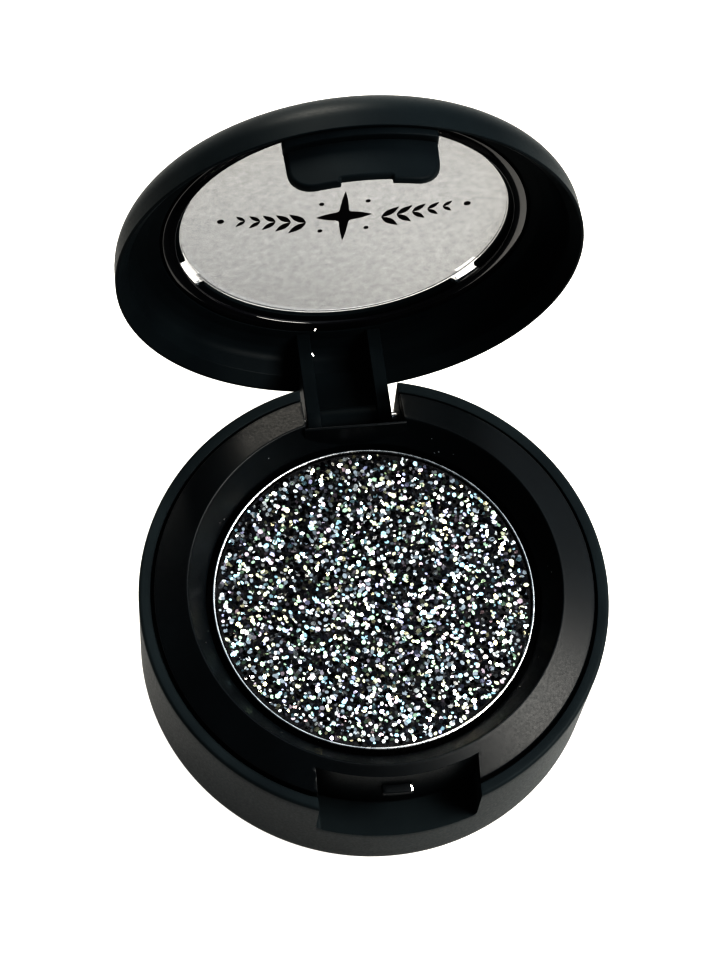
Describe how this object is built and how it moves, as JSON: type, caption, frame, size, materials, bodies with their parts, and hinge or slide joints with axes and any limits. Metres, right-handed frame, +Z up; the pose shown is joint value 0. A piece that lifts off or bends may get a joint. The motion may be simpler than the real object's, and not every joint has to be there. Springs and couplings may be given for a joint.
{
  "type": "eyeshadow compact",
  "caption": "Small round hinged makeup compact: a dark moulded base with a drop-in tray and a metal pan of pressed glitter, and a domed lid with a clear window.",
  "frame": {"origin": "centre of the base's flat underside", "axes": "+Z up; +Y towards the hinge; the finger notch and the latch are at -Y; X runs along the hinge pin"},
  "size_m": [0.0384, 0.0499, 0.0425],
  "materials": {
    "base_plastic": "satin moulded, fine grain",
    "tray_plastic": "satin moulded, fine grain",
    "lid_plastic": "satin moulded",
    "ring_plastic": "polished moulded",
    "clear_plastic": "clear, slightly hazed",
    "tinplate": "bright pressed sheet",
    "pin_steel": "drawn wire",
    "glitter": "pressed flakes in a dark binder",
    "adhesive": "cured glue"
  },
  "bodies": {
    "base": {"base_shell": "base_plastic", "pan_tray": "tray_plastic", "pan_adhesive": "adhesive", "metal_pan": "tinplate", "glitter_fill": "glitter", "hinge_pin": "pin_steel"},
    "lid": {"lid_shell": "lid_plastic", "lid_window": "clear_plastic", "window_ring": "ring_plastic"}
  },
  "joints": [
    {"name": "lid_hinge", "type": "hinge", "parent": "base", "child": "lid", "pos_m": [0, 0.01724, 0.00713], "axis": [1, 0, 0], "range_deg": [0, 98]}
  ]
}
